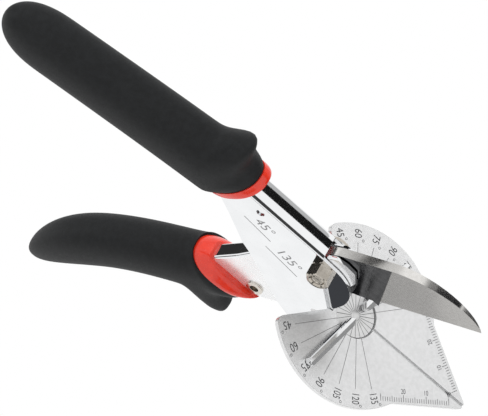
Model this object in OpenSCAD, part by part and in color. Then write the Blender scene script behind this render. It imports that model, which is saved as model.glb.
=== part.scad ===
// Multi-angle mitre shears: a hinged blade closes on a flat anvil plate with an
// angle scale, and a turning fence holds the work at the chosen angle.
// The tool lies on its side: +X runs forward along the cutting groove, +Y is the
// normal of the anvil face, and +Z is the pivot axis, with the nut on the upper side.

/* [Anvil plate] */
// Radius of the two round lobes of the plate
lobe_r = 34; // [31:0.5:37]
// Distance from the fence centre to the pointed front of the plate
plate_reach = 54.5; // [50:0.5:60]
// Thickness of the plate
plate_t = 2; // [1.8:0.1:2.6]
// Width of the cutting groove
groove_w = 1; // [0.8:0.1:1.4]

/* [Body] */
// Outside width of the folded body channel
body_w = 10; // [9.6:0.1:11]
// Thickness of the folded sheet of both channels
sheet_t = 1.2; // [1:0.1:1.3]
// Height of the flat back of the body above the anvil face
spine_y = 24.3; // [24:0.1:25]

/* [Blade] */
// Thickness of the blade at its back
blade_t = 3.6; // [3:0.1:3.6]
// How far the blade opens, in degrees
open_angle = 47.5; // [40:0.5:48]
// How far the edge sinks into the groove when the blade is closed
edge_depth = 0.5; // [0.3:0.1:0.6]

/* [Fence] */
// Angle at which the fence stands at rest, in degrees
fence_angle = 75; // [45:15:135]
// Distance from the fence centre to the outer end of each arm
arm_reach = 29.5; // [26:0.5:31]
// Width of an arm
arm_w = 3.4; // [3:0.1:4]
// Height of an arm
arm_h = 3; // [2.5:0.1:4]
// Height of the long slope on the front side of each arm
slope_h = 1.4; // [0.8:0.1:1.6]
// Diameter of the index disc
disc_d = 17; // [15:0.1:17]

/* [Grips] */
// Half thickness of both grips, across the tool
grip_b = 10; // [9.5:0.1:11]
// Half height of the upper grip
upper_a = 12.9; // [12:0.1:14]
// Half height of the lower grip
lower_a = 10.7; // [10.5:0.1:12]
// Height of the thumb stop on the upper grip
thumb_stop = 11.3; // [4:0.1:12]
// Height of the finger stop on the lower grip
finger_stop = 16; // [6:0.5:17]

/* [Hidden] */
$fn = 64;
far = 200;

// Place of the fence centre in the part's own frame
fence_x = 57.3;
fence_y = 36.5;
fence_z = lobe_r;

pivot = [-27, 17];
edge_y = -edge_depth - pivot[1];
bolt_d = 5;
bush_d = 7;
running = 0.05;
body_inner = body_w / 2 - sheet_t;
lever_half = body_inner - 0.3;
lever_inner = lever_half - sheet_t;
nut_af = 8;
nut_h = 5.2;
head_h = 1.6;
washer_t = 0.8;

disc_top = -0.7;
disc_under = -plate_t + 0.05;
disc_gap = 0.07;
block_under = -12;
block_front = 34;
stud_d = 3;
rivet_at = [-28.8, -26.8];
rivet_bore = 3.4;
rivet_body = 4.8;
hang_at = [-58.5, 18.6];
hang_d = 3.2;
stop_at = [-11.2, -9];
stop_d = 3;
bend_r = 2;
back_power = 1.76;
screw_at = [14, 29];
screw_top = -1.1;
arm_pin_at = 5.6;
arm_pin_top = 1.9;

// The sides of the rear notch, at 45 degrees, meet this far behind the fence centre
notch_back = 5.2;

grip_rings = 34;
grip_sides = 32;
section_power = 2.3;
lip_rows = 5;
lip_proud = 1.04;

spring_wire = 0.9;
spring_r = rivet_body / 2 + spring_wire / 2 + 0.1;
spring_steps = 14;
spring_last = 38;

// ---------- helpers ----------

// Moves a shape drawn around the fence centre to its place in the part's frame
module seat() {
    translate([fence_x, fence_y, fence_z]) children();
}

// Extrudes an outline of the side view, centred on the tool's middle plane
module across(width) {
    translate([0, 0, -width / 2]) linear_extrude(width) children();
}

// A pin along Z, centred on the middle plane
module cross_pin(at, d, length) {
    translate([at[0], at[1], -length / 2]) cylinder(h = length, d = d);
}

// A pin along Y from one height to another, at a place on the anvil plate
module up_pin(x, z, d, low, high, sides = 64) {
    translate([x, low, z]) rotate([-90, 0, 0]) cylinder(h = high - low, d = d, $fn = sides);
}

// A place on a cubic curve with four control points, and its direction
function curve_at(p, t) = let (s = 1 - t)
    s * s * s * p[0] + 3 * s * s * t * p[1] + 3 * s * t * t * p[2] + t * t * t * p[3];
function curve_dir(p, t) = let (s = 1 - t)
    unit(s * s * (p[1] - p[0]) + 2 * s * t * (p[2] - p[1]) + t * t * (p[3] - p[2]));
function unit(v) = v / norm(v);
function turned(v, w) = [v[0] * cos(w) - v[1] * sin(w), v[0] * sin(w) + v[1] * cos(w)];
function signed_power(v, n) = sign(v) * pow(abs(v), n);

// Triangles that close a stack of rings: its sides and its two ends
function ring_faces(rings, sides) = concat(
    [for (i = [0 : rings - 2], j = [0 : sides - 1])
        [i * sides + j, i * sides + (j + 1) % sides, (i + 1) * sides + (j + 1) % sides]],
    [for (i = [0 : rings - 2], j = [0 : sides - 1])
        [i * sides + j, (i + 1) * sides + (j + 1) % sides, (i + 1) * sides + j]],
    [[for (j = [sides - 1 : -1 : 0]) j]],
    [[for (j = [0 : sides - 1]) (rings - 1) * sides + j]]
);

// ---------- grips ----------

// Control points of the middle lines of the grips, from the mouth to the end
upper_line = [[-73.9, 18.6], [-98, 15.4], [-134, 8], [-169, 1]];
lower_line = [[-39.6, -35], [-52.8, -54.6], [-79, -75.4], [-78, -124.5]];

// How far each mouth leans away from square to the middle line, in degrees
upper_lean = 30;
lower_lean = -39;

// How much taller the section of each grip is at the mouth than in the middle
upper_flare = 0.06;
lower_flare = 0.5;

// Front edge of each collar: its centre, its direction, its two half sizes and its roundness
upper_lip = [[-70.1, 19.2], 67, 10.9, 8.2, 2.3];
lower_lip = [[-36.6, -30.9], 0, 12.2, 4.6, 7];

// The outward direction of a section: square to the middle line, but leaning at the mouth
function outward(line, t, lean, out) =
    out * turned(curve_dir(line, t), -90 - lean * exp(-t / 0.1));

// Size of a section along the grip: full in the middle, round at the end
function end_round(t, start) = t < start ? 1 : sqrt(max(0, 1 - pow((t - start) / (1 - start), 2.6)));
function mouth_round(t) = 1 - 0.14 * pow(max(0, 1 - t / 0.05), 2);
function grip_scale(t, taper, start) = max(0.06, (1 - taper * t) * end_round(t, start) * mouth_round(t));

// Extra height on the outer side of a section, which makes the thumb or finger stop
function stop_height(t, at, wide, high) = high * exp(-pow((t - at) / wide, 2));

// Points around a rounded box of half sizes one, as pairs of numbers from -1 to 1
function rounded(power) = [for (j = [0 : grip_sides - 1])
    let (w = 360 * j / grip_sides) [signed_power(cos(w), 2 / power), signed_power(sin(w), 2 / power)]];

function grip_section(line, t, a, flare, taper, start, at, wide, high, lean, out) =
    let (c = curve_at(line, t), n = outward(line, t, lean, out), f = grip_scale(t, taper, start),
         tall = a * (1 + flare * exp(-t / 0.06)) * f)
    [for (q = rounded(section_power))
        let (rise = q[0] > 0 ? stop_height(t, at, wide, high) * pow(q[0], 1.3) : 0,
             p = c + n * (tall * q[0] + rise))
        [p[0], p[1], grip_b * f * q[1]]];

function ring_place(i) = 1 - pow(1 - i / (grip_rings - 1), 1.35);

// Faces of a stack of rings, turned inside out for a grip on the outer side
function skin_faces(rings, out) = let (faces = ring_faces(rings, grip_sides))
    out > 0 ? [for (f = faces) [for (k = [len(f) - 1 : -1 : 0]) f[k]]] : faces;

module grip_solid(line, a, flare, taper, start, at, wide, high, lean, out) {
    points = [for (i = [0 : grip_rings - 1])
        each grip_section(line, ring_place(i), a, flare, taper, start, at, wide, high, lean, out)];
    polyhedron(points, skin_faces(grip_rings, out));
}

// A rounded lip that closes in from the grip's mouth to its front edge
module collar_solid(line, a, flare, lean, out, lip) {
    first = grip_section(line, 0, a, flare, 0, 1, 1, 0.1, 0, lean, out);
    heart = [line[0][0], line[0][1], 0];
    front = [lip[0][0], lip[0][1], 0];
    way = [cos(lip[1]), sin(lip[1]), 0];
    edge = [for (q = rounded(lip[4])) way * lip[2] * q[0] + [0, 0, lip[3] * q[1]]];
    points = [for (i = [0 : lip_rows - 1])
        let (w = 90 * i / (lip_rows - 1), middle = heart + (front - heart) * sin(w))
        each [for (j = [0 : grip_sides - 1])
            middle + (first[j] - heart) * lip_proud * cos(w) + edge[j] * (1 - cos(w))]];
    polyhedron(points, skin_faces(lip_rows, -out));
}

// ---------- body ----------

// The round front edge of the cheeks, above the anvil
front_middle = [-25.6, 6];
front_r = 16;

module body_outline() {
    polygon([
        [-128, 7], [-128, 15], [-100, 21], [-76, spine_y], [-32, spine_y], [-31, 22.4],
        each [for (w = [90 : -6 : 0]) front_middle + front_r * [cos(w), sin(w)]],
        [front_middle[0] + front_r, -plate_t], [34, -plate_t], [37, -5], [34, -8], [16, -13],
        [0, -20.5], [-8, -23.4], [-14.1, -23.8], [-21, -21.1], [-45.5, -6.9], [-50, -4.9],
        [-56.4, -0.3], [-64, 5], [-71.3, 9.6], [-77, 13], [-100, 11]
    ]);
}

// The section of the folded sheet, drawn across the tool: Y up, half width to each side
module fold_section(half, top, r) {
    union() {
        translate([-far, -half]) square([far + top - r, 2 * half]);
        translate([-far, -half + r]) square([far + top, 2 * half - 2 * r]);
        translate([top - r, half - r]) circle(r);
        translate([top - r, -half + r]) circle(r);
    }
}

module body_fold() {
    rotate([90, 0, 90]) translate([0, 0, -far]) linear_extrude(2 * far) difference() {
        fold_section(body_w / 2, spine_y, bend_r);
        fold_section(body_inner, spine_y - sheet_t, bend_r - sheet_t);
    }
}

module body_shape() {
    difference() {
        intersection() {
            across(body_w) body_outline();
            body_fold();
        }
        cross_pin(pivot, bolt_d + 0.2, far);
        cross_pin(hang_at, hang_d, far);
    }
}

module body_channel() color("gainsboro") seat() difference() {
    body_shape();
    jaw_pins();
    cross_pin(stop_at, stop_d, far);
}

module upper_grip() color([0.15, 0.16, 0.17]) seat() difference() {
    grip_solid(upper_line, upper_a, upper_flare, 0.06, 0.8, 0.115, 0.043, thumb_stop, upper_lean, 1);
    body_tang();
}

// The part of the channel that the grip and its collar are moulded around
module body_tang() intersection() {
    across(body_w) body_outline();
    rotate([90, 0, 90]) translate([0, 0, -far]) linear_extrude(2 * far)
        fold_section(body_w / 2, spine_y, bend_r);
}

module upper_collar() color([0.9, 0.22, 0.12]) seat() difference() {
    collar_solid(upper_line, upper_a, upper_flare, upper_lean, 1, upper_lip);
    body_tang();
}

// ---------- anvil ----------

// What is cut away to round a rear corner, where the notch meets the lobe
module corner_cut() {
    r = 3;
    inner = lobe_r - r;
    h = r * sqrt(2) - notch_back;
    x = (h - sqrt(2 * inner * inner - h * h)) / 2;
    c = [x, h - x];
    outside = [-0.9 * lobe_r, 0.9 * lobe_r - notch_back - 1];
    difference() {
        polygon([c, c - r * [1, 1] / sqrt(2), outside, c * lobe_r / inner]);
        translate(c) circle(r);
    }
}

// The pointed front of the plate, from the widest part of the lobes to the tip
module nose_outline() {
    nose_r = 2;
    slope = 34;
    side = lobe_r * 0.62;
    tip = plate_reach - nose_r;
    shoulder = tip - (side - nose_r) / tan(slope);
    polygon(concat(
        [[0, side], [shoulder, side]],
        [for (w = [90 - slope : -8 : slope - 90]) [tip, 0] + nose_r * [cos(w), sin(w)]],
        [[shoulder, -side], [0, -side]]));
}

// The rear notch, the slot for the body's cheeks, and the two rounded rear corners
module plate_cuts() {
    polygon([[-9, 9 - notch_back], [-far, far - notch_back], [-far, notch_back - far],
        [-9, notch_back - 9]]);
    for (s = [0, 1]) mirror([0, s]) corner_cut();
    translate([-far, -body_w / 2 - 0.2]) square([far - 9, body_w + 0.4]);
}

// Draws an outline of the top view of the plate as a slab between two heights
module slab(low, high) {
    translate([0, high, 0]) rotate([90, 0, 0]) linear_extrude(high - low) children();
}

module anvil_plate() color([0.85, 0.85, 0.86]) seat() difference() {
    union() {
        slab(-plate_t, 0) circle(lobe_r, $fn = 160);
        slab(-plate_t, 0) nose_outline();
    }
    slab(-plate_t - 1, 1) plate_cuts();
    up_pin(0, 0, disc_d + 2 * disc_gap, -plate_t - 1, 1);
    translate([-20, -0.9, -groove_w / 2]) cube([far, 2, groove_w]);
    for (x = screw_at) up_pin(x, 0, 3, -plate_t - 1, screw_top);
}

module jaw_pins() {
    for (p = [[9, -8], [23, -6.8]]) cross_pin(p, 3, body_w);
}

module anvil_block() color([0.5, 0.5, 0.52]) seat() difference() {
    across(2 * body_inner) polygon([
        [-6, -plate_t], [block_front, -plate_t], [block_front, -6.5], [18, -10],
        [16, block_under], [-6, block_under]]);
    jaw_pins();
    up_pin(0, 0, stud_d + 2 * running, -far, 0);
    for (x = screw_at) up_pin(x, 0, 3, -far, 0);
}

module jaw_rivets() color("silver") seat() jaw_pins();

module plate_screws() color([0.35, 0.35, 0.37]) seat() {
    up_pin(screw_at[0], 0, 3, block_under, screw_top);
    up_pin(screw_at[0], 0, 5.5, block_under - 2.2, block_under);
    up_pin(screw_at[1], 0, 3, -9.6, screw_top);
}

// ---------- pivot ----------

module pivot_bush() color("darkgoldenrod") seat() difference() {
    cross_pin(pivot, bush_d, 2 * body_inner);
    cross_pin(pivot, bolt_d, far);
}

module pivot_bolt() color([0.62, 0.6, 0.57]) seat() translate([pivot[0], pivot[1], 0]) {
    low = -body_w / 2 - washer_t;
    translate([0, 0, low]) cylinder(h = body_w / 2 + nut_h - 0.4 - low, d = bolt_d);
    translate([0, 0, low - head_h]) cylinder(h = head_h, d = nut_af / cos(30), $fn = 6);
}

module pivot_washer() color("silver") seat() difference() {
    translate([pivot[0], pivot[1], -body_w / 2 - washer_t]) cylinder(h = washer_t, d = 10);
    cross_pin(pivot, bolt_d, far);
}

module pivot_nut() color([0.62, 0.6, 0.57]) seat() difference() {
    translate([pivot[0], pivot[1], body_w / 2]) intersection() {
        rotate([0, 0, 12]) cylinder(h = nut_h, d = nut_af / cos(30), $fn = 6);
        cylinder(h = nut_h, r1 = 6.5, r2 = 4.25);
    }
    cross_pin(pivot, bolt_d, far);
}

module stop_pin() color("silver") seat() cross_pin(stop_at, stop_d, body_w);

// ---------- lever ----------

// The back of the lever, from inside the grip up to the pivot end
lever_back = [[-62.5, -62], [-57.6, -55], [-51.7, -43], [-47.6, -31], [-44.6, -18], [-43.5, -10],
    [-41.6, -5]];

module lever_outline() {
    polygon(concat(
        [[-31, 22.2], [-28.5, 26], [-24, 27], [-19.5, 26.4], [-15.8, 22], [-14.6, 12],
        [-14.2, 0], [-14.8, -12], [-17.6, -20.5], [-21, -26], [-27.4, -32.5], [-36, -43.5],
        [-44, -51.5], [-55, -64]],
        lever_back,
        [[-39, 2], [-36.5, 10], [-33.2, 17]]));
}

// The lever's back strip lies on the side that faces the upper grip
module lever_hollow() {
    polygon(concat(
        [for (p = lever_back) p + [sheet_t * 1.05, 0]],
        [[-60, -5], [-60, 40], [20, 40], [20, -80], [-61.2, -80]]));
}

module lever_shape() {
    difference() {
        across(2 * lever_half) lever_outline();
        across(2 * lever_inner) lever_hollow();
        cross_pin(pivot, bush_d + 2 * running, far);
        cross_pin(rivet_at, rivet_body, far);
    }
}

module lever_channel() color("gainsboro") seat() difference() {
    lever_shape();
    blade_rivet_pins();
}

module lower_grip() color([0.15, 0.16, 0.17]) seat() difference() {
    grip_solid(lower_line, lower_a, lower_flare, 0.1, 0.6, 0.148, 0.041, finger_stop, lower_lean, -1);
    across(2 * lever_half) lever_outline();
}

module lower_collar() color([0.9, 0.22, 0.12]) seat() difference() {
    collar_solid(lower_line, lower_a, lower_flare, lower_lean, -1, lower_lip);
    across(2 * lever_half) lever_outline();
}

module lever_rivet() color([0.75, 0.73, 0.7]) seat() difference() {
    union() {
        cross_pin(rivet_at, rivet_body, 2 * lever_half);
        for (s = [-1, 1]) cross_pin_at(rivet_at, s * (lever_half + 0.35), 6.6, 0.7);
    }
    cross_pin(rivet_at, rivet_bore, far);
}

// A pin along Z, centred on its own height
module cross_pin_at(at, z, d, length) {
    translate([at[0], at[1], z - length / 2]) cylinder(h = length, d = d);
}

// ---------- blade ----------

// The blade is drawn closed, around the pivot, and turned to its open rest place
module opened() {
    translate([pivot[0], pivot[1], 0]) rotate([0, 0, open_angle]) children();
}

module blade_outline() {
    polygon([
        [17.5, edge_y],
        each [for (w = [0 : 5 : 90])
            [27 + 29.5 * pow(cos(w), 2 / back_power),
             edge_y + (7.2 - edge_y) * pow(sin(w), 2 / back_power)]],
        [6, 7.2], [3, 6.4], [-1, 5.6], [-4.6, 4], [-9.5, 1], [-14, -3], [-12, -8], [-6, -12],
        [2, -13.6], [10, -14.8], [15.4, -15.2]
    ]);
}

// The two flat grinds, which meet in the edge and start at a slanting line
module grind() {
    slope = atan((blade_t / 2) / (7.2 - edge_y));
    intersection() {
        across(far) polygon([[17.5, edge_y - 5], [17.5, edge_y], [26.5, 7.2], [28, 12], [80, 12],
            [80, edge_y - 5]]);
        for (s = [0, 1]) mirror([0, 0, s])
            translate([0, edge_y, 0]) rotate([slope, 0, 0]) translate([-10, -20, 0]) cube([100, 60, 20]);
    }
}

module blade() color([0.66, 0.65, 0.63]) seat() difference() {
    opened() difference() {
        across(blade_t) blade_outline();
        grind();
    }
    cross_pin(pivot, bush_d + 2 * running, far);
    blade_rivet_pins();
}

module blade_spacers() color("silver") seat() difference() {
    for (s = [-1, 1]) cross_pin_at(pivot, s * (blade_t / 2 + lever_inner) / 2, 11, lever_inner - blade_t / 2);
    cross_pin(pivot, bush_d + 2 * running, far);
}

module blade_rivet_pins() {
    for (p = [[-31.5, 5.5], [-21, 5]]) cross_pin(p, 3, 2 * lever_half);
}

module blade_rivets() color("silver") seat() blade_rivet_pins();

// ---------- return spring ----------

function spring_path() = concat(
    [[-44.4, -26, -1.5], [-43.2, -25.5, -1.5]],
    [for (i = [0 : spring_last])
        let (w = 100 - 360 * i / spring_steps)
        [rivet_at[0] + spring_r * cos(w), rivet_at[1] + spring_r * sin(w), -1.5 + 3 * i / spring_last]],
    [[-36.5, -8, 1.5], [-41.5, 9.5, 1.5]]
);

function spring_ring(path, i) =
    let (d = unit(path[min(i + 1, len(path) - 1)] - path[max(i - 1, 0)]),
         n = unit(cross(d, [0, 0, 1])), m = cross(n, d))
    [for (j = [0 : 7]) path[i] + spring_wire / 2 * (n * cos(45 * j) + m * sin(45 * j))];

module return_spring() color("dimgray") seat() {
    path = spring_path();
    polyhedron([for (i = [0 : len(path) - 1]) each spring_ring(path, i)], ring_faces(len(path), 8));
}

// ---------- fence ----------

// Turns a shape drawn along -X to the angle of the fence, measured from the groove
module at_fence_angle() {
    rotate([0, fence_angle, 0]) children();
}

module index_disc() color([0.93, 0.93, 0.93]) seat() difference() {
    up_pin(0, 0, disc_d, disc_under, disc_top, 128);
    at_fence_angle() for (w = [0 : 15 : 345]) rotate([0, w, 0])
        translate([1, disc_top - 0.15, -0.11]) cube([far, 1, 0.22]);
    up_pin(0, 0, stud_d, -far, -1.3);
    at_fence_angle() arm_pins(-far, far);
}

// Pins that hold each arm down on the disc
module arm_pins(low, high) {
    for (s = [-1, 1]) up_pin(s * arm_pin_at, 0, 1.6, low, high);
}

// What is cut off one top edge of an arm: a slope of some width and height
module edge_cut(side, wide, high, top) {
    out = side * (arm_w / 2 + 1);
    rotate([90, 0, 90]) translate([0, 0, -far]) linear_extrude(2 * far) polygon([
        [top, side * (arm_w / 2 - wide)], [top + 1, side * (arm_w / 2 - wide)], [top + 1, out],
        [top - high, out], [top - high, side * arm_w / 2]]);
}

// One arm, along -X: a bar with a chamfered outer end and a pointed inner end, raised
// off the plate on a foot that stands on the disc, with a long slope on its front side
module arm(front) {
    inner = 3;
    low = 0.3;
    top = low + arm_h;
    difference() {
        union() {
            slab(low, top) polygon([
                [-inner, 0], [-inner - arm_w / 2, arm_w / 2], [-arm_reach + 1, arm_w / 2],
                [-arm_reach, arm_w / 2 - 1], [-arm_reach, 1 - arm_w / 2],
                [-arm_reach + 1, -arm_w / 2], [-inner - arm_w / 2, -arm_w / 2]]);
            translate([-7.6, disc_top, -arm_w / 2]) cube([7.6 - inner - arm_w / 2, low - disc_top, arm_w]);
        }
        arm_pins(-far, arm_pin_top);
        edge_cut(front, arm_w * 0.53, slope_h, top);
        edge_cut(-front, 0.35, 0.35, top);
    }
}

module fence_arm_near() color([0.88, 0.88, 0.89]) seat() at_fence_angle() arm(1);

module fence_arm_far() color([0.88, 0.88, 0.89]) seat() at_fence_angle() rotate([0, 180, 0]) arm(-1);

module fence_pins() color("silver") seat() at_fence_angle() arm_pins(disc_under, arm_pin_top);

module fence_stud() color([0.5, 0.5, 0.52]) seat() up_pin(0, 0, stud_d, block_under - 4, -1.3);

module fence_washer() color("silver") seat() difference() {
    up_pin(0, 0, 6.8, block_under - 0.9, block_under - 0.1);
    up_pin(0, 0, stud_d, -far, far);
}

module fence_nut() color([0.6, 0.6, 0.6]) seat() difference() {
    up_pin(0, 0, 5.5 / cos(30), block_under - 3.3, block_under - 0.9, 6);
    up_pin(0, 0, stud_d, -far, far);
}

body_channel();
upper_grip();
upper_collar();
anvil_plate();
anvil_block();
jaw_rivets();
plate_screws();
pivot_bush();
pivot_bolt();
pivot_washer();
pivot_nut();
stop_pin();
lever_channel();
lower_grip();
lower_collar();
blade();
blade_spacers();
blade_rivets();
lever_rivet();
return_spring();
index_disc();
fence_arm_near();
fence_arm_far();
fence_pins();
fence_stud();
fence_washer();
fence_nut();
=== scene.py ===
"""Multi-angle mitre shears lying on their side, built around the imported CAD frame.

Places are in millimetres from the fence centre on the anvil face: X runs forward along
the cutting groove, Y is the normal of the anvil face and Z is the pivot axis.
"""

import math

import bmesh
import bpy
from mathutils import Matrix, Vector


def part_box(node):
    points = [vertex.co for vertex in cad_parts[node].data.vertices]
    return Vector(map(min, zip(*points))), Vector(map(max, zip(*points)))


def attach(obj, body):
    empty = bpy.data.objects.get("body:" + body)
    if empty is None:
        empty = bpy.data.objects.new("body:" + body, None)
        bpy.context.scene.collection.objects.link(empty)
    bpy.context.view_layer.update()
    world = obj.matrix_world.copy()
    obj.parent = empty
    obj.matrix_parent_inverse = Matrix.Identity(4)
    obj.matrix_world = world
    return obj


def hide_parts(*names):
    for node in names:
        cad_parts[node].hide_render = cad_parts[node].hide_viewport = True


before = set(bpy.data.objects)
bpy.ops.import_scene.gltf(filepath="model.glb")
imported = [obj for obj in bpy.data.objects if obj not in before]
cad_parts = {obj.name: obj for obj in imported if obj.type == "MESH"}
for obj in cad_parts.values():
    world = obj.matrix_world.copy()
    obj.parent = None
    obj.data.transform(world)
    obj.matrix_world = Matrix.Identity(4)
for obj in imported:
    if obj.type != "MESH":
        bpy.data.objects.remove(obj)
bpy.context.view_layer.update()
MM = 0.001


def middle(node):
    """The middle of a CAD node's box."""
    low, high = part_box(node)
    return (low + high) / 2


CENTRE = Vector((middle("fence_stud").x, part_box("anvil_plate")[1].y, middle("fence_stud").z))
PIVOT = middle("pivot_bush")


def place(x, y, z):
    """A point given in millimetres from the fence centre, in the frame's metres."""
    return CENTRE + MM * Vector((x, y, z))


# ---------- camera, floor and light ----------

CAMERA_AZIMUTH = math.radians(200.1)
CAMERA_ELEVATION = math.radians(28.75)
CAMERA_ROLL = math.radians(-149.2)
CAMERA_DISTANCE = 1.0
CAMERA_LENS = 205.8
CAMERA_AIM = place(-53.1, -13.1, -10.8)
LAMP_DISTANCE = 0.8
FLOOR_SIZE = 6.0
FLOOR_DROP = 0.0005


def camera_axes():
    """The camera's right, up and backward directions."""
    a, e, r = CAMERA_AZIMUTH, CAMERA_ELEVATION, CAMERA_ROLL
    back = Vector((math.sin(a) * math.cos(e), -math.cos(a) * math.cos(e), math.sin(e)))
    level = Vector((math.cos(a), math.sin(a), 0))
    above = back.cross(level)
    right = level * math.cos(r) + above * math.sin(r)
    up = above * math.cos(r) - level * math.sin(r)
    return right, up, back


def add_camera():
    """The camera of the main view, rolled about the line that it looks along."""
    right, up, back = camera_axes()
    data = bpy.data.cameras.new("camera")
    data.lens = CAMERA_LENS
    data.clip_start = 0.01
    data.clip_end = 20
    camera = bpy.data.objects.new("camera", data)
    turn = Matrix((right, up, back)).transposed().to_4x4()
    camera.matrix_world = Matrix.Translation(CAMERA_AIM + back * CAMERA_DISTANCE) @ turn
    bpy.context.scene.collection.objects.link(camera)
    bpy.context.scene.camera = camera


def add_area(name, direction, size, power):
    """A soft square lamp that looks at the object from a direction."""
    data = bpy.data.lights.new(name, "AREA")
    data.size = size
    data.energy = power
    lamp = bpy.data.objects.new(name, data)
    way = Vector(direction).normalized()
    lamp.location = CAMERA_AIM + way * LAMP_DISTANCE
    lamp.rotation_euler = way.to_track_quat("Z", "Y").to_euler()
    lamp.visible_glossy = False
    bpy.context.scene.collection.objects.link(lamp)


class Nodes:
    """Short names for adding nodes to one node tree."""

    def __init__(self, tree):
        self.tree = tree
        tree.nodes.clear()

    def add(self, kind, **settings):
        node = self.tree.nodes.new(kind)
        for key, value in settings.items():
            setattr(node, key, value)
        return node

    def put(self, socket, value):
        if isinstance(value, bpy.types.NodeSocket):
            self.tree.links.new(value, socket)
        else:
            socket.default_value = value

    def math(self, operation, a, b):
        node = self.add("ShaderNodeMath", operation=operation)
        self.put(node.inputs[0], a)
        self.put(node.inputs[1], b)
        return node.outputs[0]

    def ramp(self, value, low, high, out_low=0.0, out_high=1.0):
        """A smooth step of a value between two limits."""
        node = self.add("ShaderNodeMapRange", interpolation_type="SMOOTHSTEP")
        for socket, setting in zip(node.inputs, (value, low, high, out_low, out_high)):
            self.put(socket, setting)
        return node.outputs[0]

    def blend(self, factor, first, second):
        """A colour between two colours."""
        node = self.add("ShaderNodeMix", data_type="RGBA")
        self.put(node.inputs[0], factor)
        self.put(node.inputs[6], first)
        self.put(node.inputs[7], second)
        return node.outputs[2]


def window(nodes, direction, limits):
    """1 inside a patch of the sky and 0 outside it. Each limit is an axis, the two values
    of the dot product between which the patch lies, and how soft its edges are."""
    patch = 1.0
    for axis, low, high, soft in limits:
        dot = nodes.add("ShaderNodeVectorMath", operation="DOT_PRODUCT")
        nodes.put(dot.inputs[0], direction)
        dot.inputs[1].default_value = axis
        rise = nodes.ramp(dot.outputs["Value"], low - soft, low + soft)
        fall = nodes.ramp(dot.outputs["Value"], high - soft, high + soft, 1.0, 0.0)
        patch = nodes.math("MULTIPLY", patch, nodes.math("MULTIPLY", rise, fall))
    return patch


AXIS_X, AXIS_Y, AXIS_Z = (1, 0, 0), (0, 1, 0), (0, 0, 1)
# Dark patches in the white tent: how dark each is, and the limits of its part of the sky
DARK_PATCHES = [
    (0.95, [(AXIS_Z, 0.62, 1.1, 0.04), (AXIS_Y, -0.1, 1.1, 0.05), (AXIS_X, 0.2, 0.4, 0.04)]),
    (0.9, [(AXIS_X, -0.32, -0.05, 0.05), (AXIS_Y, 0.5, 1.1, 0.05), (AXIS_Z, -0.62, -0.3, 0.03)]),
    (0.95, [(AXIS_X, 0.46, 1.1, 0.04), (AXIS_Y, 0.15, 0.8, 0.05), (AXIS_Z, -0.65, -0.3, 0.03)]),
    (0.3, [(AXIS_X, -1.0, -0.7, 0.05), (AXIS_Y, 0.1, 0.5, 0.05), (AXIS_Z, -0.65, -0.3, 0.03)]),
    (0.97, [(AXIS_X, -1.1, -0.4, 0.05), (AXIS_Y, -0.9, -0.3, 0.05), (AXIS_Z, -0.64, -0.32, 0.03)]),
    (0.97, [(AXIS_X, -1.1, -0.5, 0.05), (AXIS_Y, -0.75, -0.2, 0.05), (AXIS_Z, 0.3, 0.7, 0.05)]),
    (0.7, [(AXIS_X, 0.6, 1.1, 0.05), (AXIS_Y, -0.7, 0.1, 0.05), (AXIS_Z, -0.7, -0.15, 0.05)]),
]


def add_world():
    """A white tent with a few dark patches, which shiny metal reflects."""
    world = bpy.data.worlds.new("studio")
    bpy.context.scene.world = world
    world.use_nodes = True
    nodes = Nodes(world.node_tree)
    direction = nodes.add("ShaderNodeTexCoord").outputs["Generated"]
    light = 1.0
    for darkness, limits in DARK_PATCHES:
        patch = window(nodes, direction, limits)
        light = nodes.math("MULTIPLY", light, nodes.ramp(patch, 0, 1, 1, 1 - darkness))
    seen = nodes.add("ShaderNodeLightPath").outputs["Is Camera Ray"]
    strength = nodes.math("MAXIMUM", light, seen)
    sky = nodes.add("ShaderNodeBackground")
    sky.inputs["Color"].default_value = (1, 1, 1, 1)
    nodes.put(sky.inputs["Strength"], strength)
    output = nodes.add("ShaderNodeOutputWorld")
    nodes.put(output.inputs["Surface"], sky.outputs[0])


def glowing(name, colour, one_sided=False):
    """A plain material that gives off one colour, and may be clear from behind."""
    material = bpy.data.materials.new(name)
    material.use_nodes = True
    nodes = Nodes(material.node_tree)
    glow = nodes.add("ShaderNodeEmission")
    glow.inputs["Color"].default_value = colour
    skin = glow.outputs[0]
    if one_sided:
        clear = nodes.add("ShaderNodeBsdfTransparent")
        mix = nodes.add("ShaderNodeMixShader")
        nodes.put(mix.inputs[0], nodes.add("ShaderNodeNewGeometry").outputs["Backfacing"])
        nodes.put(mix.inputs[1], skin)
        nodes.put(mix.inputs[2], clear.outputs[0])
        skin = mix.outputs[0]
    output = nodes.add("ShaderNodeOutputMaterial")
    nodes.put(output.inputs["Surface"], skin)
    return material


def add_floor():
    """A plain white floor, which glows so that no shadow falls on it."""
    mesh = bpy.data.meshes.new("floor")
    corners = [(x * FLOOR_SIZE, y * FLOOR_SIZE, 0) for x, y in ((-1, -1), (1, -1), (1, 1), (-1, 1))]
    mesh.from_pydata(corners, [], [(0, 1, 2, 3)])
    floor = bpy.data.objects.new("floor", mesh)
    floor.location.z = -FLOOR_DROP
    bpy.context.scene.collection.objects.link(floor)
    floor.visible_glossy = False
    floor.visible_diffuse = False
    floor.visible_shadow = False
    mesh.materials.append(glowing("floor", (1, 1, 1, 1)))


def add_card(name, corners, material):
    """A flat card that only shows up in shiny metal."""
    mesh = bpy.data.meshes.new(name)
    mesh.from_pydata(corners, [], [(0, 1, 2, 3)])
    card = bpy.data.objects.new(name, mesh)
    bpy.context.scene.collection.objects.link(card)
    card.visible_camera = False
    card.visible_diffuse = False
    card.visible_shadow = False
    mesh.materials.append(material)


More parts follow.
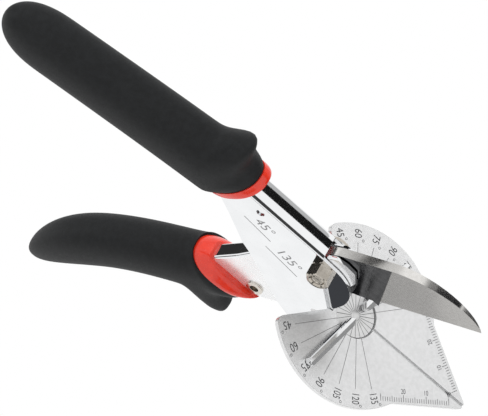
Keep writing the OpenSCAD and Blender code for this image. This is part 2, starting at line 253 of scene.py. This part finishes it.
# Middle of the bands on the flat back of the body, and where their cards stand
SPINE_MIDDLE = (-54, 24.3)
SPINE_CARD_AWAY = 20
SPINE_CARD_LONG = 46
# Cards close to the tool: height above the anvil face, outline in X and Z, and colour
SMALL_CARDS = {
    "cheek_card": (1, [(-10.4, 5.2), (-23.2, 18), (-1, 18), (-1, 5.2)], (0.05, 0.052, 0.058, 1)),
    "tip_card": (56.5, [(-1, -5.5), (13, -5.5), (13, 0), (-1, 0)], (0.01, 0.01, 0.012, 1)),
}


def add_spine_card(name, band_z, width, brightness):
    """A thin card off the flat back of the body, placed so that the camera sees it there as
    a band."""
    view = -camera_axes()[2]
    ray = Vector((view.x, -view.y, view.z))
    heart = place(SPINE_MIDDLE[0], SPINE_MIDDLE[1], band_z) + ray * SPINE_CARD_AWAY * MM
    way = Vector((1, 0, 0))
    side = ray.cross(way).normalized()
    corners = [
        heart + (way * a * SPINE_CARD_LONG + side * b * width) / 2 * MM
        for a, b in ((-1, -1), (1, -1), (1, 1), (-1, 1))
    ]
    add_card(name, corners, glowing(name, (brightness, brightness, brightness, 1)))


def add_small_cards():
    """Two dark cards close to the tool, each clear when it is seen from its back: one darkens
    the front of the body's cheek, and the other the back of the blade near its tip."""
    for name, (height, outline, colour) in SMALL_CARDS.items():
        corners = [place(x, height, z) for x, z in outline]
        add_card(name, corners, glowing(name, colour, True))


add_camera()
add_world()
add_floor()
add_spine_card("black_card", -1.2, 6.4, 0.01)
add_spine_card("grey_card", -16.4, 24, 0.5)
add_small_cards()
RIGHT, UP, BACK = camera_axes()
add_area("key", BACK * 0.45 + UP * 0.8 - RIGHT * 0.15, 0.35, 2.2)
add_area("rim", -BACK * 0.2 + UP * 0.9 + RIGHT * 0.5, 0.3, 1.2)
bpy.context.scene.view_settings.view_transform = "Standard"


# ---------- materials ----------


def noise(nodes, size, detail, stretch=(1, 1, 1)):
    """Noise with features of about one size, in millimetres, in the piece's own space."""
    position = nodes.add("ShaderNodeTexCoord").outputs["Object"]
    scale = nodes.add("ShaderNodeVectorMath", operation="MULTIPLY")
    nodes.put(scale.inputs[0], position)
    scale.inputs[1].default_value = stretch
    node = nodes.add("ShaderNodeTexNoise")
    nodes.put(node.inputs["Vector"], scale.outputs[0])
    node.inputs["Scale"].default_value = 1 / (size * MM)
    node.inputs["Detail"].default_value = detail
    return node.outputs["Fac"]


def surface(name, colour, second, metal, rough, grain, bump, stretch=(1, 1, 1), **constants):
    """A finish whose colour drifts between two colours over patches six grains wide, and
    whose roughness and height follow the grain itself. Grain and bump are in millimetres."""
    material = bpy.data.materials.new(name)
    material.use_nodes = True
    nodes = Nodes(material.node_tree)
    shader = nodes.add("ShaderNodeBsdfPrincipled")
    output = nodes.add("ShaderNodeOutputMaterial")
    nodes.put(output.inputs["Surface"], shader.outputs[0])
    drift = noise(nodes, grain * 6, 4.0)
    fine = noise(nodes, grain, 2.0, stretch)
    mixed = nodes.blend(nodes.ramp(drift, 0.3, 0.7), (*colour, 1), (*second, 1))
    nodes.put(shader.inputs["Base Color"], mixed)
    nodes.put(shader.inputs["Roughness"], nodes.ramp(fine, 0.25, 0.75, rough[0], rough[1]))
    shader.inputs["Metallic"].default_value = metal
    for key, value in constants.items():
        shader.inputs[key.replace("_", " ")].default_value = value
    if bump:
        height = nodes.add("ShaderNodeBump")
        height.inputs["Strength"].default_value = 1.0
        height.inputs["Distance"].default_value = bump * MM
        nodes.put(height.inputs["Height"], fine)
        nodes.put(shader.inputs["Normal"], height.outputs[0])
    return material


MATERIALS = {
    "chromed_body": surface("chromed_body", (0.9, 0.91, 0.92), (0.86, 0.87, 0.88), 1, (0.03, 0.07),
                            1.5, 0.0),
    "chromed_lever": surface("chromed_lever", (0.88, 0.89, 0.9), (0.83, 0.84, 0.85), 1, (0.04, 0.09),
                             1.5, 0.0),
    "lever_cheek": surface("lever_cheek", (0.96, 0.96, 0.965), (0.9, 0.905, 0.91), 0.72, (0.22, 0.3),
                           1.5, 0.0),
    "soft_grip": surface("soft_grip", (0.0065, 0.0072, 0.0078), (0.0095, 0.0105, 0.0115), 0,
                         (0.5, 0.68), 0.35, 0.03, Specular_IOR_Level=0.25),
    "red_trim": surface("red_trim", (0.78, 0.035, 0.012), (0.7, 0.028, 0.01), 0, (0.18, 0.28),
                        0.5, 0.004, Coat_Weight=0.3, Coat_Roughness=0.1),
    # Painted shade: a dark copy of the plate's steel for its rounded top edge, which draws a dark
    # outline
    "plate_edge_painted_shade": surface("plate_edge_painted_shade", (0.12, 0.12, 0.125), (0.08, 0.08, 0.085), 1, (0.3, 0.4),
                          0.5, 0.0),
    "satin_plate": surface("satin_plate", (0.8, 0.802, 0.805), (0.74, 0.742, 0.745), 0.65, (0.2, 0.26),
                           0.25, 0.0015, (0.06, 1, 1)),
    "dark_steel": surface("dark_steel", (0.2, 0.2, 0.205), (0.13, 0.13, 0.135), 1, (0.35, 0.5),
                          0.6, 0.01),
    "bright_steel": surface("bright_steel", (0.7, 0.7, 0.7), (0.62, 0.62, 0.62), 1, (0.16, 0.26),
                            0.4, 0.002),
    "bush_brass": surface("bush_brass", (0.72, 0.48, 0.18), (0.6, 0.38, 0.13), 1, (0.22, 0.35),
                          0.4, 0.004),
    "fastener_steel": surface("fastener_steel", (0.56, 0.52, 0.46), (0.48, 0.44, 0.385), 1,
                              (0.12, 0.18), 0.5, 0.0),
    # The blade's steel and a darker copy of it: the copy on the ground faces is painted shade, and the
    # brighter steel keeps the glint on the back
    "blade_steel": surface("blade_steel", (0.8, 0.785, 0.76), (0.74, 0.725, 0.7), 1, (0.16, 0.24),
                           0.2, 0.001, (1, 0.08, 1)),
    "blade_ground_painted_shade": surface("blade_ground_painted_shade", (0.44, 0.43, 0.415), (0.4, 0.39, 0.375), 1, (0.2, 0.28),
                            0.2, 0.001, (1, 0.08, 1)),
    "blade_flat": surface("blade_flat", (0.09, 0.09, 0.092), (0.06, 0.06, 0.062), 1, (0.1, 0.18),
                          0.3, 0.001, (1, 0.08, 1)),
    "rivet_steel": surface("rivet_steel", (0.74, 0.7, 0.64), (0.64, 0.6, 0.54), 1, (0.12, 0.22),
                           0.4, 0.002),
    "spring_steel": surface("spring_steel", (0.3, 0.3, 0.31), (0.2, 0.2, 0.21), 1, (0.3, 0.4),
                            0.4, 0.002),
    "disc_face": surface("disc_face", (0.86, 0.86, 0.86), (0.8, 0.8, 0.8), 1, (0.35, 0.45),
                         0.3, 0.001),
    "fence_chrome": surface("fence_chrome", (0.86, 0.865, 0.87), (0.82, 0.825, 0.83), 1, (0.06, 0.12),
                            0.6, 0.0),
    "engraved": surface("engraved", (0.24, 0.24, 0.245), (0.3, 0.3, 0.305), 0.5, (0.4, 0.55),
                        0.1, 0.0),
    "etched": surface("etched", (0.035, 0.035, 0.038), (0.06, 0.06, 0.065), 0, (0.5, 0.65),
                      0.1, 0.0),
}


# ---------- mesh helpers ----------

# Points closer than WELD millimetres are joined, and so are faces between which the skin
# turns by less than FLAT_TURN degrees
WELD = 0.0005
FLAT_TURN = 0.4
# Edges that turn by more than this many degrees are rounded, and by how much
EDGE_TURN = 30
EDGE_ROUND = 0.12
FINE_ROUND = 0.06
PLATE_ROUND = 0.3


def finished(bm, name, body, slot_name, stands_for=(), material=None, sharp=32):
    """Turns a bmesh into a piece that rides on a body, with soft edges shaded smooth."""
    bmesh.ops.recalc_face_normals(bm, faces=bm.faces)
    for face in bm.faces:
        face.smooth = True
    mesh = bpy.data.meshes.new(name)
    bm.to_mesh(mesh)
    bm.free()
    mesh.set_sharp_from_angle(angle=math.radians(sharp))
    piece = bpy.data.objects.new(name, mesh)
    bpy.context.scene.collection.objects.link(piece)
    normals = piece.modifiers.new("normals", "WEIGHTED_NORMAL")
    normals.keep_sharp = True
    mesh.materials.append(MATERIALS[material or slot_name])
    if stands_for:
        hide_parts(*stands_for)
    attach(piece, body)
    return piece


def cad_copy(node):
    """A clean bmesh of a CAD node, with its flat faces joined up again."""
    bm = bmesh.new()
    bm.from_mesh(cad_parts[node].data)
    bmesh.ops.remove_doubles(bm, verts=bm.verts, dist=WELD * MM)
    flat = math.radians(FLAT_TURN)
    bmesh.ops.dissolve_limit(bm, angle_limit=flat, verts=bm.verts, edges=bm.edges)
    return bm


def round_edges(bm, width=EDGE_ROUND):
    """Rounds every edge that turns by more than EDGE_TURN degrees."""
    turn = math.radians(EDGE_TURN)
    edges = [edge for edge in bm.edges if edge.is_manifold and edge.calc_face_angle(0) > turn]
    bmesh.ops.bevel(bm, geom=edges, offset=width * MM, offset_type="OFFSET", segments=2,
                    profile=0.6, affect="EDGES", clamp_overlap=True)


def refined(node, body, slot_name, width=EDGE_ROUND):
    """A CAD node as a new piece with rounded edges."""
    bm = cad_copy(node)
    round_edges(bm, width)
    return finished(bm, node + "_piece", body, slot_name, [node])


def stack(bm, rings, start_cap=True, end_cap=True):
    """Joins rings of points, all with the same count, into a closed skin."""
    made = [[bm.verts.new(point) for point in ring] for ring in rings]
    count = len(rings[0])
    for a, b in zip(made, made[1:]):
        for j in range(count):
            k = (j + 1) % count
            bm.faces.new((a[j], a[k], b[k], b[j]))
    if start_cap:
        bm.faces.new(list(reversed(made[0])))
    if end_cap:
        bm.faces.new(made[-1])
    return made


def signed_power(value, power):
    """A power that keeps the sign of its value."""
    return math.copysign(abs(value) ** power, value)


# ---------- grips and collars ----------

# Both grips follow the formula and values of the CAD source, with finer rings that close
# further at the end
GRIP_RINGS = 120
GRIP_SIDES = 72
GRIP_B = 10
SECTION_POWER = 2.3
RING_PACKING = 1.35
LEAN_FADE = 0.1
FLARE_FADE = 0.06
END_POWER = 2.6
MOUTH_DRAW = 0.14
MOUTH_LENGTH = 0.05
STOP_POWER = 1.3
SMALLEST = 0.02
LIP_ROWS = 14
LIP_PROUD = 1.04
# For each grip: its middle line, half height, taper, start of the round end, thumb or finger
# stop (at, wide, high), flare and lean of the mouth, outer side, and front edge of its collar
UPPER = {
    "line": [(-73.9, 18.6), (-98, 15.4), (-134, 8), (-169, 1)],
    "a": 12.9, "taper": 0.06, "start": 0.8, "at": 0.115, "wide": 0.043, "high": 11.3, "flare": 0.06,
    "lean": 30, "out": 1,
    "lip_at": (-70.1, 19.2), "lip_way": 67, "lip_a": 10.9, "lip_b": 8.2, "lip_power": 2.3,
}
LOWER = {
    "line": [(-39.6, -35), (-52.8, -54.6), (-79, -75.4), (-78, -124.5)],
    "a": 10.7, "taper": 0.1, "start": 0.6, "at": 0.148, "wide": 0.041, "high": 16, "flare": 0.5,
    "lean": -39, "out": -1,
    "lip_at": (-36.6, -30.9), "lip_way": 0, "lip_a": 12.2, "lip_b": 4.6, "lip_power": 7,
}


def curve_at(line, t):
    """A place on a cubic curve with four control points."""
    p = [Vector(point) for point in line]
    s = 1 - t
    return s * s * s * p[0] + 3 * s * s * t * p[1] + 3 * s * t * t * p[2] + t * t * t * p[3]


def curve_way(line, t):
    """The direction of the same curve."""
    p = [Vector(point) for point in line]
    s = 1 - t
    return (s * s * (p[1] - p[0]) + 2 * s * t * (p[2] - p[1]) + t * t * (p[3] - p[2])).normalized()


def turned(v, degrees):
    """A flat vector, turned to the left."""
    w = math.radians(degrees)
    return Vector((v[0] * math.cos(w) - v[1] * math.sin(w), v[0] * math.sin(w) + v[1] * math.cos(w)))


def outward(grip, t):
    """The outward direction of a grip's section, which leans over at the mouth."""
    lean = grip["lean"] * math.exp(-t / LEAN_FADE)
    return grip["out"] * turned(curve_way(grip["line"], t), -90 - lean)


def grip_scale(grip, t):
    """How large a section is: drawn in at the mouth, full in the middle, round at the end."""
    start = grip["start"]
    end = 1 if t < start else math.sqrt(max(0, 1 - ((t - start) / (1 - start)) ** END_POWER))
    mouth = 1 - MOUTH_DRAW * max(0, 1 - t / MOUTH_LENGTH) ** 2
    return max(SMALLEST, (1 - grip["taper"] * t) * end * mouth)


def grip_ring(grip, t):
    """The points round a section, raised on the outer side where the stop is."""
    centre, way, size = curve_at(grip["line"], t), outward(grip, t), grip_scale(grip, t)
    tall = grip["a"] * (1 + grip["flare"] * math.exp(-t / FLARE_FADE))
    stop = grip["high"] * math.exp(-(((t - grip["at"]) / grip["wide"]) ** 2))
    ring = []
    for j in range(GRIP_SIDES):
        w = 2 * math.pi * j / GRIP_SIDES
        u = signed_power(math.cos(w), 2 / SECTION_POWER)
        v = signed_power(math.sin(w), 2 / SECTION_POWER)
        rise = stop * u**STOP_POWER if u > 0 else 0
        p = centre + way * (tall * size * u + rise)
        ring.append(place(p[0], p[1], GRIP_B * size * v))
    return ring


def add_grip(name, grip, body):
    """A grip, with its rings closer together towards the round end."""
    bm = bmesh.new()
    last = GRIP_RINGS - 1
    steps = [1 - (1 - i / last) ** RING_PACKING for i in range(GRIP_RINGS)]
    stack(bm, [grip_ring(grip, t) for t in steps])
    finished(bm, name + "_grip_piece", body, "soft_grip", [name + "_grip"], sharp=50)


def lip_ring(grip):
    """The points round the front edge of a collar."""
    way = turned((1, 0), grip["lip_way"])
    ring = []
    for j in range(GRIP_SIDES):
        w = 2 * math.pi * j / GRIP_SIDES
        u = signed_power(math.cos(w), 2 / grip["lip_power"])
        v = signed_power(math.sin(w), 2 / grip["lip_power"])
        p = Vector(grip["lip_at"]) + way * grip["lip_a"] * u
        ring.append(place(p[0], p[1], grip["lip_b"] * v))
    return ring


def add_collar(name, grip, body):
    """A rounded lip that closes in from the grip's mouth to the channel."""
    first, last = grip_ring(grip, 0), lip_ring(grip)
    heart = sum(first, Vector()) / GRIP_SIDES
    front = sum(last, Vector()) / GRIP_SIDES
    rings = []
    for i in range(LIP_ROWS):
        w = i / (LIP_ROWS - 1) * math.pi / 2
        middle_now = heart.lerp(front, math.sin(w))
        rings.append([
            middle_now + ((a - heart) * LIP_PROUD).lerp(b - front, 1 - math.cos(w))
            for a, b in zip(first, last)
        ])
    bm = bmesh.new()
    stack(bm, rings)
    finished(bm, name + "_collar_piece", body, "red_trim", [name + "_collar"])


add_grip("upper", UPPER, "frame")
add_collar("upper", UPPER, "frame")
add_grip("lower", LOWER, "lever")
add_collar("lower", LOWER, "lever")


# ---------- metal pieces ----------

# Height of the body's crown, the cuts to each side that carry it, and how deep it reaches
CROWN = 0.35
CROWN_CUTS = 4
CROWN_STEP = 0.76
SPINE_DEEP = 1.6
# Bend of the lever's back strip, which faces backwards at least this much
STRIP_BEND = 1.1
STRIP_FACING = -0.7
HEX_SIDES = 120
NUT_FLATS = 8
NUT_TURN = 12
BOLT_R = 2.5
# Round-cut corners of the nut and the bolt head: depth under the end, and how far drawn in
CUT_CORNER = [(0.42, 0), (0.2, 0.28), (0, 0.72)]
# How straight a face must look to the side to be flat, or to be ground at a slight slope
FLAT_NORMAL = 0.9995
GROUND_NORMAL = 0.99
# Upward part of the normals on the rounded top edge of the plate, which is painted dark as shade
ROUNDED_TOP = (0.2, 0.97)


def add_body_channel():
    """The folded body, with its back slightly crowned between the two bends."""
    bm = cad_copy("body_channel")
    low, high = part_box("body_channel")
    for i in range(-CROWN_CUTS, CROWN_CUTS + 1):
        everything = bm.verts[:] + bm.edges[:] + bm.faces[:]
        cut = (0, 0, CENTRE.z + i * CROWN_STEP * MM)
        bmesh.ops.bisect_plane(bm, geom=everything, plane_co=cut, plane_no=(0, 0, 1), dist=1e-7)
    half = (high.z - low.z) / 2
    for vert in bm.verts:
        if vert.co.y > high.y - SPINE_DEEP * MM:
            vert.co.y -= CROWN * MM * ((vert.co.z - CENTRE.z) / half) ** 2
    round_edges(bm)
    finished(bm, "body_channel_piece", "frame", "chromed_body", ["body_channel"])


def add_lever_channel():
    """The lever, with the long edges of its back strip bent round and duller cheeks."""
    bm = cad_copy("lever_channel")
    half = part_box("lever_channel")[1].z - CENTRE.z - 0.01 * MM

    def is_bend(edge):
        return (
            len(edge.link_faces) == 2
            and all(abs(v.co.z - CENTRE.z) > half for v in edge.verts)
            and min(face.normal.x for face in edge.link_faces) < STRIP_FACING
        )

    bends = [edge for edge in bm.edges if is_bend(edge)]
    bmesh.ops.bevel(bm, geom=bends, offset=STRIP_BEND * MM, offset_type="OFFSET", segments=6,
                    profile=0.5, affect="EDGES", clamp_overlap=False)
    round_edges(bm)
    piece = finished(bm, "lever_channel_piece", "lever", "chromed_lever", ["lever_channel"])
    piece.data.materials.append(MATERIALS["lever_cheek"])
    for face in piece.data.polygons:
        if abs(face.normal.z) > FLAT_NORMAL:
            face.material_index = 1


def add_blade():
    """The blade: dark flats behind the grinding line, ground faces lighter than the flats in a darker
    copy of the back's steel, which is painted shade, and the brighter steel elsewhere, which gives the
    back its glint.
    """
    bm = cad_copy("blade")
    round_edges(bm, FINE_ROUND)
    piece = finished(bm, "blade_piece", "lever", "blade_steel", ["blade"])
    piece.data.materials.append(MATERIALS["blade_flat"])
    piece.data.materials.append(MATERIALS["blade_ground_painted_shade"])
    for face in piece.data.polygons:
        if abs(face.normal.z) > FLAT_NORMAL:
            face.material_index = 1
        elif abs(face.normal.z) > GROUND_NORMAL:
            # Ground faces take the darker copy of the steel, as painted shade
            face.material_index = 2


def hex_radius(flats, degrees):
    """Distance from the axis of a hexagon to its side, at an angle from one corner."""
    return flats / 2 / math.cos(math.radians(degrees % 60 - 30))


def hex_ring(centre, height, flats, limit, turn):
    """A ring round a Z axis: a hexagon that is cut back to a circle of a limiting radius."""
    ring = []
    for j in range(HEX_SIDES):
        degrees = 360 * j / HEX_SIDES
        radius = min(hex_radius(flats, degrees), limit) * MM
        w = math.radians(degrees + turn)
        ring.append(centre + Vector((math.cos(w) * radius, math.sin(w) * radius, height)))
    return ring


def add_pivot_nut():
    """The nut, with round-cut corners on both ends and a countersunk bore."""
    low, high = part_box("pivot_nut")
    axis = Vector((PIVOT.x, PIVOT.y, 0))
    corner = NUT_FLATS / math.sqrt(3)
    bm = bmesh.new()
    profile = [
        (low.z, BOLT_R), (low.z, corner - 0.5), (low.z + 0.3 * MM, corner),
        *((high.z - deep * MM, corner - drawn) for deep, drawn in CUT_CORNER),
        (high.z, BOLT_R + 0.62), (high.z - 0.12 * MM, BOLT_R + 0.5), (high.z - 0.5 * MM, BOLT_R),
    ]
    made = stack(bm, [hex_ring(axis, z, NUT_FLATS, r, NUT_TURN) for z, r in profile], False, False)
    for j in range(HEX_SIDES):
        k = (j + 1) % HEX_SIDES
        bm.faces.new((made[-1][j], made[-1][k], made[0][k], made[0][j]))
    finished(bm, "pivot_nut_piece", "frame", "fastener_steel", ["pivot_nut"], sharp=24)


def add_pivot_bolt():
    """The bolt, with a hollow in its low head and another in its end."""
    low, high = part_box("pivot_bolt")
    axis = Vector((PIVOT.x, PIVOT.y, 0))
    corner = NUT_FLATS / math.sqrt(3)
    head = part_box("pivot_washer")[0].z
    bm = bmesh.new()
    profile = [
        (low.z + 0.25 * MM, 2.6), (low.z + 0.25 * MM, 2.9), (low.z, 3.1),
        *((low.z + deep * MM, corner - drawn) for deep, drawn in reversed(CUT_CORNER)),
        (head - 0.1 * MM, corner), (head, corner - 0.3), (head, BOLT_R),
        (high.z - 0.4 * MM, BOLT_R), (high.z, BOLT_R - 0.4), (high.z, 1.5),
        (high.z - 0.25 * MM, 1.25), (high.z - 0.3 * MM, 0.02),
    ]
    stack(bm, [hex_ring(axis, z, NUT_FLATS, r, 0) for z, r in profile])
    finished(bm, "pivot_bolt_piece", "frame", "fastener_steel", ["pivot_bolt"], sharp=24)


def add_anvil_plate():
    """The plate, with its rounded top edge painted darker than its face, as painted shade."""
    piece = refined("anvil_plate", "frame", "satin_plate", PLATE_ROUND)
    piece.data.materials.append(MATERIALS["plate_edge_painted_shade"])
    for face in piece.data.polygons:
        # The rounded top edge gets the painted shade
        if ROUNDED_TOP[0] < face.normal.y < ROUNDED_TOP[1]:
            face.material_index = 1


add_body_channel()
add_lever_channel()
add_anvil_plate()
add_blade()
add_pivot_nut()
add_pivot_bolt()
for node, slot_name in {
    "anvil_block": "dark_steel", "jaw_rivets": "rivet_steel",
    "plate_screws": "dark_steel", "pivot_bush": "bush_brass", "pivot_washer": "bright_steel",
    "stop_pin": "bright_steel",
}.items():
    refined(node, "frame", slot_name)
for node, slot_name in {
    "blade_spacers": "bright_steel",
    "blade_rivets": "rivet_steel", "lever_rivet": "rivet_steel", "return_spring": "spring_steel",
}.items():
    refined(node, "lever", slot_name)
for node, slot_name in {
    "index_disc": "disc_face", "fence_arm_near": "fence_chrome", "fence_arm_far": "fence_chrome",
    "fence_pins": "bright_steel", "fence_stud": "dark_steel", "fence_washer": "bright_steel",
    "fence_nut": "bright_steel",
}.items():
    refined(node, "fence", slot_name)


# ---------- etched marks ----------

# Height of every mark, and width of the rays of the angle scale
MARK_H = 0.02
LINE_W = 0.16


def add_bar(bm, start, end, normal, width):
    """A thin raised line from one point to another, on a face with that normal."""
    way = (end - start).normalized()
    side = normal.cross(way) * width / 2 * MM
    top = normal * MARK_H * MM
    low = [start - side, end - side, end + side, start + side]
    stack(bm, [low, [point + top for point in low]])


def add_ring(bm, centre, normal, reading, radius, width, sides=20):
    """A thin raised ring, such as a degree sign."""
    across_way = normal.cross(reading)

    def circle(r, height):
        return [
            centre + (reading * math.cos(w) + across_way * math.sin(w)) * r * MM + normal * height * MM
            for w in (2 * math.pi * j / sides for j in range(sides))
        ]

    rings = [circle(radius, 0), circle(radius, MARK_H), circle(radius - width, MARK_H),
             circle(radius - width, 0)]
    made = stack(bm, rings, False, False)
    for j in range(sides):
        k = (j + 1) % sides
        bm.faces.new((made[3][j], made[3][k], made[0][k], made[0][j]))


def add_text(bm, text, size, centre, reading, normal, narrow=1.0):
    """Raised lettering in the built-in font, centred on a point and drawn narrower."""
    curve = bpy.data.curves.new("lettering", "FONT")
    curve.body = text
    curve.size = size * MM
    curve.extrude = MARK_H / 2 * MM
    curve.align_x = "CENTER"
    curve.align_y = "CENTER"
    letters = bpy.data.objects.new("lettering", curve)
    bpy.context.scene.collection.objects.link(letters)
    bpy.context.view_layer.update()
    mesh = bpy.data.meshes.new_from_object(letters.evaluated_get(bpy.context.evaluated_depsgraph_get()))
    up = normal.cross(reading)
    turn = Matrix((reading * narrow, up, normal)).transposed().to_4x4()
    mesh.transform(Matrix.Translation(centre + normal * MARK_H / 2 * MM) @ turn)
    bm.from_mesh(mesh)
    bpy.data.objects.remove(letters)
    bpy.data.curves.remove(curve)
    bpy.data.meshes.remove(mesh)


PLATE_UP = Vector((0, 1, 0))
# Angle scale: both ends of each ray, and the place and size of its label and degree sign
RAY_FROM, RAY_TO = 8.6, 27
LABEL_AT, LABEL_SIZE = 30.4, 4.4
SIGN_SIDE, SIGN_UP, SIGN_R = 2.5, 2.3, 0.5
# Ruler: slope of the plate's front edge, its front corner, and the marks along it
EDGE_SLOPE = math.radians(34)
EDGE_START = (53.6, 1.66)
RULER_START = 4.6
RULER_INSET = 0.9
RULER_LONG = 30
NUMBER_SIZE = 2.6
# Mark on the cheek: each word with the place of its middle and the length of its line
CHEEK_WORDS = [("45°", -52.5, 13.3, 14), ("135°", -36, 6.8, 17)]
CHEEK_WORD_SIZE = 6
CHEEK_LINE_DROP = 4.2


def add_angle_scale(bm):
    """Rays from the disc every 15 degrees, with the angle at the outer end of each."""
    for side in (1, -1):
        for angle in range(45, 136, 15):
            w = math.radians(angle)
            ray = Vector((-math.cos(w), 0, side * math.sin(w)))
            add_bar(bm, CENTRE + ray * RAY_FROM * MM, CENTRE + ray * RAY_TO * MM, PLATE_UP, LINE_W)
            reading = ray * side
            label = CENTRE + ray * LABEL_AT * MM
            narrow = 0.78 if angle < 100 else 0.66
            add_text(bm, str(angle), LABEL_SIZE, label, reading, PLATE_UP, narrow)
            sign = label + (reading * SIGN_SIDE + PLATE_UP.cross(reading) * SIGN_UP) * MM
            add_ring(bm, sign, PLATE_UP, reading, SIGN_R, 0.17)


def add_edge_ruler(bm, side):
    """Millimetres along a straight front edge of the plate, counted from the point."""
    back = Vector((-math.cos(EDGE_SLOPE), 0, side * math.sin(EDGE_SLOPE)))
    inward = Vector((-math.sin(EDGE_SLOPE), 0, -side * math.cos(EDGE_SLOPE)))
    start = place(EDGE_START[0], 0, side * EDGE_START[1]) + back * RULER_START * MM
    for i in range(RULER_LONG + 1):
        long = 2.6 if i % 10 == 0 else 2.1 if i % 5 == 0 else 1.6
        foot = start + back * i * MM + inward * RULER_INSET * MM
        add_bar(bm, foot, foot + inward * long * MM, PLATE_UP, 0.2)
        if i % 10 == 0 and i < RULER_LONG:
            label = foot + inward * (long + 1.2) * MM
            add_text(bm, str(i), NUMBER_SIZE, label, back * -side, PLATE_UP, 0.8)


def add_plate_marks():
    """The angle scale and both rulers, as one piece on the plate."""
    bm = bmesh.new()
    add_angle_scale(bm)
    add_edge_ruler(bm, 1)
    add_edge_ruler(bm, -1)
    finished(bm, "plate_scale", "frame", "dark_steel", material="etched")


def add_body_mark():
    """The cutting range, etched on the near cheek of the body along its back."""
    bm = bmesh.new()
    normal = Vector((0, 0, 1))
    cheek = (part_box("body_channel")[1].z - CENTRE.z) / MM
    slope = Vector((1, -0.12, 0)).normalized()
    side = normal.cross(slope)
    for word, x, y, long in CHEEK_WORDS:
        heart = place(x, y, cheek)
        add_text(bm, word, CHEEK_WORD_SIZE, heart, slope, normal)
        line = heart - side * CHEEK_LINE_DROP * MM
        add_bar(bm, line - slope * long / 2 * MM, line + slope * long / 2 * MM, normal, 0.35)
    finished(bm, "body_mark", "frame", "dark_steel", material="engraved")


def add_disc_marks():
    """Rays every 15 degrees on the index disc, and a ring round its rim."""
    low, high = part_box("index_disc")
    top = Vector((CENTRE.x, high.y, CENTRE.z))
    reach = (high.x - low.x) / 2 / MM
    bm = bmesh.new()
    for i in range(24):
        w = math.radians(15 * i)
        ray = Vector((math.cos(w), 0, math.sin(w)))
        add_bar(bm, top + ray * 1.7 * MM, top + ray * (reach - 0.4) * MM, PLATE_UP, 0.12)
    add_ring(bm, top, PLATE_UP, Vector((1, 0, 0)), reach - 0.1, 0.3, 96)
    finished(bm, "disc_scale", "fence", "dark_steel", material="etched")


add_plate_marks()
add_disc_marks()
add_body_mark()
